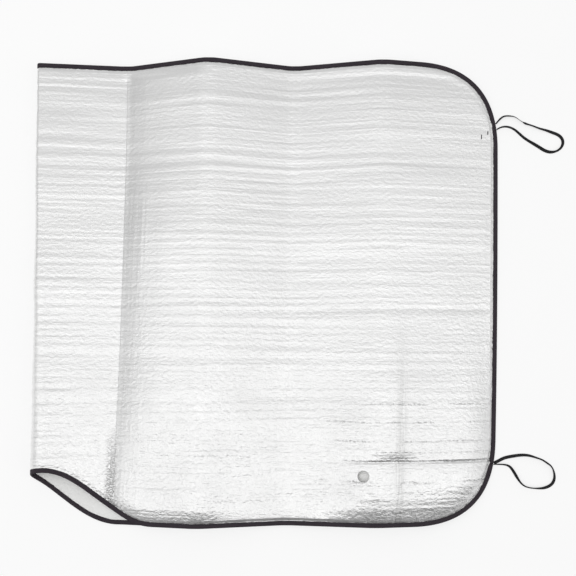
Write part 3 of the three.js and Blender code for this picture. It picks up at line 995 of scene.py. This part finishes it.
# Stitches from start points to end points: thin rods that rise by up in the middle and dip in
# at both ends, where they are thinner too.
def stitchPoints(starts, ends, ups):
    share = np.array(thread["along"])[:, None]
    radius = thread["radius"] * np.array(thread["radii"])
    lift = thread["radius"] * np.array(thread["lifts"])[:, None]
    centres = starts[:, None] + share * (ends - starts)[:, None] + lift * ups[:, None]
    sideways = unit(np.cross(ends - starts, ups))
    turn = roundTurn(thread["sides"])
    ring = np.cos(turn)[:, None] * sideways[:, None] + np.sin(turn)[:, None] * ups[:, None]
    return centres[:, :, None] + radius[:, None, None] * ring[:, None]


# The seam and the bar tacks on both faces of the tape, then the tacks at the upper loop's foot:
# rows of stitches at even steps, seated on the surface below them.
def makeThread(surface):
    places, normals, run, _ = outlineStations(thread["step"])
    mouth = border - tape["width"]
    seamAt = mouth + thread["fromMouth"]
    tackFrom, tackTo = mouth + thread["tackFromMouth"], tape["crest"] - thread["tackFromCrest"]
    first = np.arange(0, len(run) - thread["perStitch"], thread["perStitch"])
    last = first + thread["perStitch"] - 1
    tack = np.arange(thread["tackStitches"]) - thread["tackStitches"] // 2

    def onTape(which, distance, side):
        here = places[which], normals[which], distance
        low = besideOutline(*here, side * tape["outer"])
        high = besideOutline(*here, side * 2 * tape["outer"])
        return low, unit(high - low)

    stitches = []
    for side in (1, -1):
        starts, ups = onTape(first, seamAt, side)
        stitches.append(stitchPoints(starts, onTape(last, seamAt, side)[0], ups))
        for values in (upperStrap, lowerStrap):
            for endY in (values["exitY"], values["exitY"] + values["route"][-1][1]):
                which = int(round(runAtExit(endY) / thread["step"])) + tack
                starts, ups = onTape(which, tackFrom, side)
                stitches.append(stitchPoints(starts, onTape(which, tackTo, side)[0], ups))
    count = thread["footStitches"]
    for s, t, length in thread["footTacks"]:
        columns = s + (np.arange(count) - count // 2) * thread["footPitch"] * thread["radius"]
        inset = highEnd - columns
        ends = []
        for row in (t - length / 2, t + length / 2):
            rows = np.full(count, row)
            height = sheet["thickness"] / 2 + reliefAt(columns, rows, inset)
            ends.append(offsetPoint(columns, rows, height))
        ups = offsetPoint(columns, rows, thread["normalStep"]) - offsetPoint(columns, rows, 0.0)
        stitches.append(stitchPoints(ends[0], ends[1], unit(ups)))
    points = np.concatenate(stitches)
    points[..., 2] = np.maximum(points[..., 2], thread["floorGap"])
    numbers = np.arange(points[..., 0].size).reshape(points.shape[:3])
    quads = np.concatenate([gridQuads(one, closeColumns=True) for one in numbers])
    caps = numbers[:, 0].tolist() + numbers[:, -1, ::-1].tolist()
    uv = np.stack([points[..., 0], points[..., 1]], -1)
    piece = meshObject("seam_thread", points, quads, uv, [surface], caps)
    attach(piece, body)
    print("thread made,", len(points), "stitches")
    return piece


threadLook = {
    "twist": 9000,  # radians a metre
    "depth": 0.00004, "wear": 60, "dark": (0.030, 0.024, 0.030, 1),
    "light": (0.055, 0.046, 0.055, 1),
}


# Spun thread: its height is the sine of a slanting place, for the strands twisted round it.
def threadSurface():
    look = threadLook
    shader = Shader("thread", Roughness=0.6, Specular_IOR_Level=0.4)
    along, across = shader.places()
    strands = ((along + across) * look["twist"]).sine()
    return shader.dressed(look, strands, shader.noise(shader.flat(), look["wear"]))


seam = makeThread(threadSurface())


# Stage and light

stage = {"size": 8, "z": -0.0004, "colour": (0.93, 0.93, 0.93, 1), "glow": 0.7}


# A pale floor that partly glows for the camera, in gloss and through clear pieces.
def makeStage():
    bpy.ops.mesh.primitive_plane_add(size=stage["size"], location=(0, 0, stage["z"]))
    floor = bpy.context.object
    floor.name = "floor"
    shader = Shader("floor", Base_Color=stage["colour"], Roughness=0.9, Specular_IOR_Level=0.1)
    glow = shader.node("ShaderNodeEmission", None, {"Color": (1, 1, 1, 1), "Strength": 1.0})[0]
    path = shader.node("ShaderNodeLightPath")
    seen = path[0] + path[3] + path[6]
    inputs = [seen * stage["glow"], Value(shader, shader.surface.outputs[0]), glow]
    mixed = shader.node("ShaderNodeMixShader", None, inputs)[0]
    output = shader.tree.nodes["Material Output"]
    shader.tree.links.new(mixed.socket, output.inputs["Surface"])
    floor.data.materials.append(shader.material)


# Studio dome, as strength by direction: it brightens by a smooth step from back to front, then
# falls off by others low down at the front, and at the two sides.
dome = {
    "back": 0.65, "front": 1.40, "rise": (-0.45, 0.30),
    "frontFall": (0.40, 0.64, 0.92),  # from, to and share lost
    "sideFall": (0.66, 0.96, 0.42),
}


def makeWorld():
    shader = Shader("studio", bpy.data.worlds.new("studio"), Color=(1, 1, 1, 1))
    bpy.context.scene.world = shader.material
    direction = shader.node("ShaderNodeTexCoord")[0]
    x, y, _ = shader.node("ShaderNodeSeparateXYZ", None, [direction])
    forward = y * -1
    level = dome["back"] + forward.step(*dome["rise"]) * (dome["front"] - dome["back"])
    for away, (low, high, lost) in ((forward, dome["frontFall"]), (x.size(), dome["sideFall"])):
        level = level * (1 - away.step(low, high) * lost)
    shader.feed("Strength", level)


overhead = {"place": (-0.7, 0.5, 2.2), "size": 1.4, "watts": 10}


# A square lamp turned to the origin: tilted by atan2(level distance, drop).
def makeLamp(name, place, size, watts):
    light = bpy.data.lights.new(name, "AREA")
    light.shape = "SQUARE"
    light.size = size
    light.energy = watts
    lamp = bpy.data.objects.new(name, light)
    lamp.location = place
    direction = -np.array(place)
    lamp.rotation_euler = (math.atan2(math.hypot(direction[0], direction[1]), -direction[2]), 0,
                           math.atan2(direction[0], -direction[1]) + math.pi)
    lamp.visible_glossy = False
    bpy.context.scene.collection.objects.link(lamp)


makeStage()
makeWorld()
makeLamp("overhead", **overhead)
bpy.context.scene.view_settings.view_transform = "Standard"

print("scene made")
